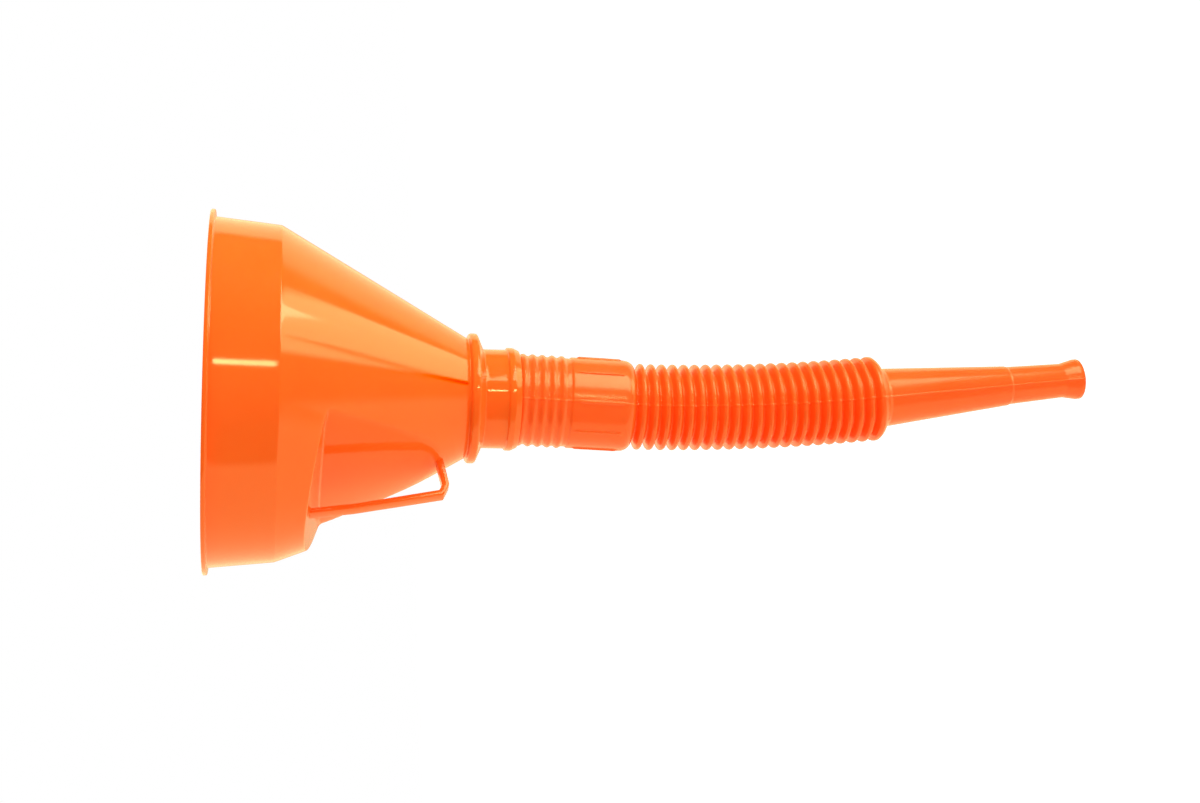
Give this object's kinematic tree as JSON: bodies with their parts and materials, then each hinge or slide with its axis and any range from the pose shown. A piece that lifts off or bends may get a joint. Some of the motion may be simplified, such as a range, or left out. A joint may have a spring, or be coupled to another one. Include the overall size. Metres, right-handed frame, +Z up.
{
  "type": "funnel",
  "caption": "Hand funnel with a wide flanged bowl, hanging strap, lift-out gauze strainer and a swivelling bellows spout that bends and ends in a tapered nozzle.",
  "frame": {"origin": "centre of the rim's top plane", "axes": "+Z up along the bowl's axis, out of the mouth; the handle strap is on -X"},
  "size_m": [0.16, 0.16, 0.4049],
  "materials": {
    "bowl": "polished, slightly translucent",
    "spout": "satin blow-moulded",
    "strainer": "satin moulded",
    "gauze": "woven wire"
  },
  "bodies": {
    "bowl": {"bowl": "bowl"},
    "strainer": {"strainer_frame": "strainer", "strainer_gauze": "gauze"},
    "connector": {"spout_connector": "spout"},
    "bellows_ring_01": {"bellows_ring_01": "spout"},
    "bellows_ring_02": {"bellows_ring_02": "spout"},
    "bellows_ring_03": {"bellows_ring_03": "spout"},
    "bellows_ring_04": {"bellows_ring_04": "spout"},
    "bellows_ring_05": {"bellows_ring_05": "spout"},
    "bellows_ring_06": {"bellows_ring_06": "spout"},
    "bellows_ring_07": {"bellows_ring_07": "spout"},
    "bellows_ring_08": {"bellows_ring_08": "spout"},
    "bellows_ring_09": {"bellows_ring_09": "spout"},
    "bellows_ring_10": {"bellows_ring_10": "spout"},
    "bellows_ring_11": {"bellows_ring_11": "spout"},
    "bellows_ring_12": {"bellows_ring_12": "spout"},
    "bellows_ring_13": {"bellows_ring_13": "spout"},
    "bellows_ring_14": {"bellows_ring_14": "spout"},
    "bellows_ring_15": {"bellows_ring_15": "spout"},
    "bellows_ring_16": {"bellows_ring_16": "spout"},
    "bellows_ring_17": {"bellows_ring_17": "spout"},
    "bellows_ring_18": {"bellows_ring_18": "spout"},
    "bellows_ring_19": {"bellows_ring_19": "spout"},
    "bellows_ring_20": {"bellows_ring_20": "spout"},
    "bellows_ring_21": {"bellows_ring_21": "spout"},
    "nozzle": {"spout_nozzle": "spout"}
  },
  "joints": [
    {"name": "strainer_lift", "type": "slide", "parent": "bowl", "child": "strainer", "axis": [0, 0, 1], "range_m": [0, 0.125]},
    {"name": "spout_swivel", "type": "hinge", "parent": "bowl", "child": "connector", "pos_m": [0, 0, -0.13], "axis": [0, 0, 1], "continuous": true},
    {"name": "bellows_bend_01", "type": "hinge", "parent": "connector", "child": "bellows_ring_01", "pos_m": [-0.00222, 0, -0.1887], "axis": [0, -1, 0], "range_deg": [-4.36, 2.94], "stiffness_Nm_per_rad": 0.02},
    {"name": "bellows_bend_02", "type": "hinge", "parent": "bellows_ring_01", "child": "bellows_ring_02", "pos_m": [-0.00234, 0, -0.1939], "axis": [0, -1, 0], "range_deg": [-4.36, 2.94], "stiffness_Nm_per_rad": 0.02},
    {"name": "bellows_bend_03", "type": "hinge", "parent": "bellows_ring_02", "child": "bellows_ring_03", "pos_m": [-0.00237, 0, -0.1991], "axis": [0, -1, 0], "range_deg": [-4.36, 2.94], "stiffness_Nm_per_rad": 0.02},
    {"name": "bellows_bend_04", "type": "hinge", "parent": "bellows_ring_03", "child": "bellows_ring_04", "pos_m": [-0.0023, 0, -0.2043], "axis": [0, -1, 0], "range_deg": [-4.36, 2.94], "stiffness_Nm_per_rad": 0.02},
    {"name": "bellows_bend_05", "type": "hinge", "parent": "bellows_ring_04", "child": "bellows_ring_05", "pos_m": [-0.00219, 0, -0.2095], "axis": [0, -1, 0], "range_deg": [-4.36, 2.94], "stiffness_Nm_per_rad": 0.02},
    {"name": "bellows_bend_06", "type": "hinge", "parent": "bellows_ring_05", "child": "bellows_ring_06", "pos_m": [-0.00205, 0, -0.2147], "axis": [0, -1, 0], "range_deg": [-4.36, 2.94], "stiffness_Nm_per_rad": 0.02},
    {"name": "bellows_bend_07", "type": "hinge", "parent": "bellows_ring_06", "child": "bellows_ring_07", "pos_m": [-0.00188, 0, -0.2199], "axis": [0, -1, 0], "range_deg": [-4.36, 2.94], "stiffness_Nm_per_rad": 0.02},
    {"name": "bellows_bend_08", "type": "hinge", "parent": "bellows_ring_07", "child": "bellows_ring_08", "pos_m": [-0.00168, 0, -0.22509], "axis": [0, -1, 0], "range_deg": [-4.36, 2.94], "stiffness_Nm_per_rad": 0.02},
    {"name": "bellows_bend_09", "type": "hinge", "parent": "bellows_ring_08", "child": "bellows_ring_09", "pos_m": [-0.00144, 0, -0.23029], "axis": [0, -1, 0], "range_deg": [-4.36, 2.94], "stiffness_Nm_per_rad": 0.02},
    {"name": "bellows_bend_10", "type": "hinge", "parent": "bellows_ring_09", "child": "bellows_ring_10", "pos_m": [-0.00117, 0, -0.23548], "axis": [0, -1, 0], "range_deg": [-4.36, 2.94], "stiffness_Nm_per_rad": 0.02},
    {"name": "bellows_bend_11", "type": "hinge", "parent": "bellows_ring_10", "child": "bellows_ring_11", "pos_m": [-0.00087, 0, -0.24067], "axis": [0, -1, 0], "range_deg": [-4.36, 2.94], "stiffness_Nm_per_rad": 0.02},
    {"name": "bellows_bend_12", "type": "hinge", "parent": "bellows_ring_11", "child": "bellows_ring_12", "pos_m": [-0.00053, 0, -0.24586], "axis": [0, -1, 0], "range_deg": [-4.36, 2.94], "stiffness_Nm_per_rad": 0.02},
    {"name": "bellows_bend_13", "type": "hinge", "parent": "bellows_ring_12", "child": "bellows_ring_13", "pos_m": [-0.00016, 0, -0.25105], "axis": [0, -1, 0], "range_deg": [-4.36, 2.94], "stiffness_Nm_per_rad": 0.02},
    {"name": "bellows_bend_14", "type": "hinge", "parent": "bellows_ring_13", "child": "bellows_ring_14", "pos_m": [0.00024, 0, -0.25623], "axis": [0, -1, 0], "range_deg": [-4.36, 2.94], "stiffness_Nm_per_rad": 0.02},
    {"name": "bellows_bend_15", "type": "hinge", "parent": "bellows_ring_14", "child": "bellows_ring_15", "pos_m": [0.00067, 0, -0.26141], "axis": [0, -1, 0], "range_deg": [-4.36, 2.94], "stiffness_Nm_per_rad": 0.02},
    {"name": "bellows_bend_16", "type": "hinge", "parent": "bellows_ring_15", "child": "bellows_ring_16", "pos_m": [0.00114, 0, -0.26659], "axis": [0, -1, 0], "range_deg": [-4.36, 2.94], "stiffness_Nm_per_rad": 0.02},
    {"name": "bellows_bend_17", "type": "hinge", "parent": "bellows_ring_16", "child": "bellows_ring_17", "pos_m": [0.00164, 0, -0.27177], "axis": [0, -1, 0], "range_deg": [-4.36, 2.94], "stiffness_Nm_per_rad": 0.02},
    {"name": "bellows_bend_18", "type": "hinge", "parent": "bellows_ring_17", "child": "bellows_ring_18", "pos_m": [0.00218, 0, -0.27694], "axis": [0, -1, 0], "range_deg": [-4.36, 2.94], "stiffness_Nm_per_rad": 0.02},
    {"name": "bellows_bend_19", "type": "hinge", "parent": "bellows_ring_18", "child": "bellows_ring_19", "pos_m": [0.00274, 0, -0.28211], "axis": [0, -1, 0], "range_deg": [-4.36, 2.94], "stiffness_Nm_per_rad": 0.02},
    {"name": "bellows_bend_20", "type": "hinge", "parent": "bellows_ring_19", "child": "bellows_ring_20", "pos_m": [0.00334, 0, -0.28727], "axis": [0, -1, 0], "range_deg": [-4.36, 2.94], "stiffness_Nm_per_rad": 0.02},
    {"name": "bellows_bend_21", "type": "hinge", "parent": "bellows_ring_20", "child": "bellows_ring_21", "pos_m": [0.00397, 0, -0.29244], "axis": [0, -1, 0], "range_deg": [-4.36, 2.94], "stiffness_Nm_per_rad": 0.02},
    {"name": "bellows_bend_22", "type": "hinge", "parent": "bellows_ring_21", "child": "nozzle", "pos_m": [0.00464, 0, -0.29759], "axis": [0, -1, 0], "range_deg": [-4.36, 2.94], "stiffness_Nm_per_rad": 0.02}
  ],
  "couplings": [
    {"joint": "bellows_bend_02", "follows": "bellows_bend_01", "ratio": 1},
    {"joint": "bellows_bend_03", "follows": "bellows_bend_01", "ratio": 1},
    {"joint": "bellows_bend_04", "follows": "bellows_bend_01", "ratio": 1},
    {"joint": "bellows_bend_05", "follows": "bellows_bend_01", "ratio": 1},
    {"joint": "bellows_bend_06", "follows": "bellows_bend_01", "ratio": 1},
    {"joint": "bellows_bend_07", "follows": "bellows_bend_01", "ratio": 1},
    {"joint": "bellows_bend_08", "follows": "bellows_bend_01", "ratio": 1},
    {"joint": "bellows_bend_09", "follows": "bellows_bend_01", "ratio": 1},
    {"joint": "bellows_bend_10", "follows": "bellows_bend_01", "ratio": 1},
    {"joint": "bellows_bend_11", "follows": "bellows_bend_01", "ratio": 1},
    {"joint": "bellows_bend_12", "follows": "bellows_bend_01", "ratio": 1},
    {"joint": "bellows_bend_13", "follows": "bellows_bend_01", "ratio": 1},
    {"joint": "bellows_bend_14", "follows": "bellows_bend_01", "ratio": 1},
    {"joint": "bellows_bend_15", "follows": "bellows_bend_01", "ratio": 1},
    {"joint": "bellows_bend_16", "follows": "bellows_bend_01", "ratio": 1},
    {"joint": "bellows_bend_17", "follows": "bellows_bend_01", "ratio": 1},
    {"joint": "bellows_bend_18", "follows": "bellows_bend_01", "ratio": 1},
    {"joint": "bellows_bend_19", "follows": "bellows_bend_01", "ratio": 1},
    {"joint": "bellows_bend_20", "follows": "bellows_bend_01", "ratio": 1},
    {"joint": "bellows_bend_21", "follows": "bellows_bend_01", "ratio": 1},
    {"joint": "bellows_bend_22", "follows": "bellows_bend_01", "ratio": 1}
  ]
}
